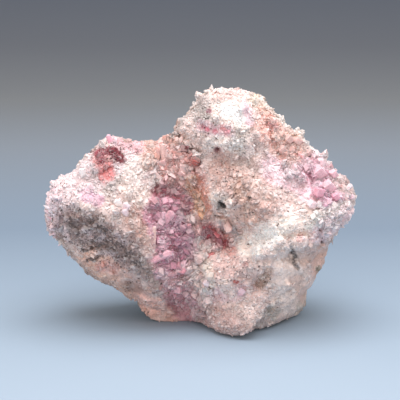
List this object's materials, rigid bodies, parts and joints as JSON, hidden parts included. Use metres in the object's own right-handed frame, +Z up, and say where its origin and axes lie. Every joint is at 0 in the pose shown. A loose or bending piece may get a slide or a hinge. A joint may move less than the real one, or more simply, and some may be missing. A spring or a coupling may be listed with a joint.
{
  "type": "cobaltoan calcite specimen",
  "caption": "Broken lump of pale host rock with crusts of rose, lilac, peach and red calcite crystals and white druse on its front, standing on its broken feet.",
  "frame": {"origin": "middle of the bottom of the stone's box, on the surface that it stands on", "axes": "+X to the right as seen from the crystal-covered front, +Y towards the back, +Z up"},
  "size_m": [0.0944, 0.0494, 0.0744],
  "materials": {
    "host_rock": "rough broken rock under a fine white druse",
    "rose_calcite": "glassy crystal faces, slightly cloudy",
    "lilac_calcite": "glassy crystal faces, slightly cloudy",
    "peach_calcite": "glassy crystal faces, slightly cloudy",
    "red_calcite": "glassy crystal faces, deep in colour"
  },
  "bodies": {
    "root": {"matrix_rock": "host_rock", "rose_crystal_crust": "rose_calcite", "lilac_crystal_crust": "lilac_calcite", "peach_crystal_crust": "peach_calcite", "red_crystal_cluster": "red_calcite"}
  },
  "joints": []
}
